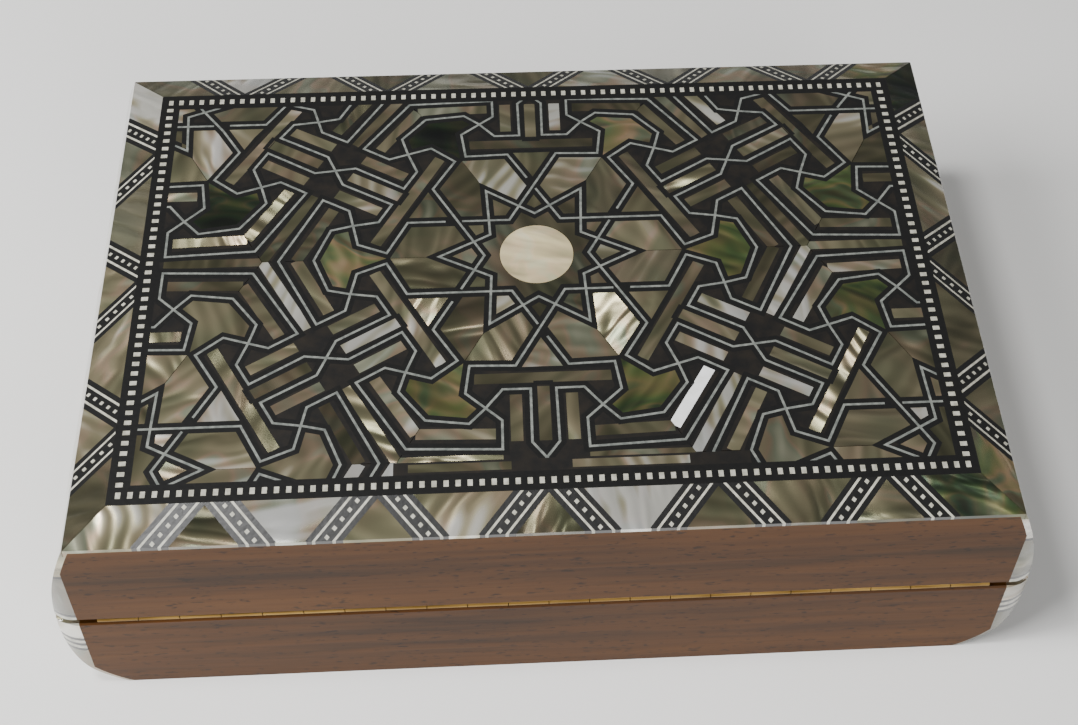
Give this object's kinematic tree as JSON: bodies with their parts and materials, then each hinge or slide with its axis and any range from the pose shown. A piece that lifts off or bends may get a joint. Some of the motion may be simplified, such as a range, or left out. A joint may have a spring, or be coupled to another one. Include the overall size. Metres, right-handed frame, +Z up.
{
  "type": "inlaid wooden box",
  "caption": "Rectangular wooden box with a hinged lid, swelling sides and a strapwork inlay of mother-of-pearl over its lid; plain wood back.",
  "frame": {"origin": "centre of the box's footprint, on the surface it stands on", "axes": "+Z up, +X along the length, +Y from the hinged back to the front"},
  "size_m": [0.241, 0.158, 0.069],
  "materials": {
    "velvet": "pile",
    "brass": "satin",
    "pearl": "gloss",
    "abalone": "gloss",
    "black_inlay": "gloss",
    "white_inlay": "gloss",
    "beech": "satin"
  },
  "bodies": {
    "base": {"base_bottom": "beech", "base_wall_back": "beech", "base_wall_front": "beech", "base_wall_left": "beech", "base_wall_right": "beech", "base_lining_floor": "velvet", "base_lining_walls": "velvet", "base_side_pearl_left": "pearl", "base_side_pearl_right": "pearl", "base_side_pearl_front": "pearl", "base_strings_black": "black_inlay", "base_strings_white": "white_inlay", "hinge_leaf_base": "brass", "hinge_pin": "brass", "hinge_screws_base": "brass"},
    "lid": {"lid_panel": "beech", "lid_wall_back": "beech", "lid_wall_front": "beech", "lid_wall_left": "beech", "lid_wall_right": "beech", "lid_lining_top": "velvet", "lid_lining_walls": "velvet", "lid_side_pearl_left": "pearl", "lid_side_pearl_right": "pearl", "lid_side_pearl_front": "pearl", "lid_strings_black": "black_inlay", "lid_strings_white": "white_inlay", "lid_border_pearl": "pearl", "lid_border_shell": "abalone", "lid_border_black": "black_inlay", "lid_border_white": "white_inlay", "lid_frame_black": "black_inlay", "lid_frame_dots": "white_inlay", "lid_field_pearl": "pearl", "lid_field_abalone": "abalone", "lid_field_bright_strip": "white_inlay", "lid_field_black": "black_inlay", "lid_field_white": "white_inlay", "lid_field_mastic": "black_inlay", "lid_medallion": "pearl", "hinge_leaf_lid": "brass", "hinge_screws_lid": "brass"}
  },
  "joints": [
    {"name": "lid_hinge", "type": "hinge", "parent": "base", "child": "lid", "pos_m": [0, -0.07775, 0.0315], "axis": [1, 0, 0], "range_deg": [0, 95]}
  ]
}
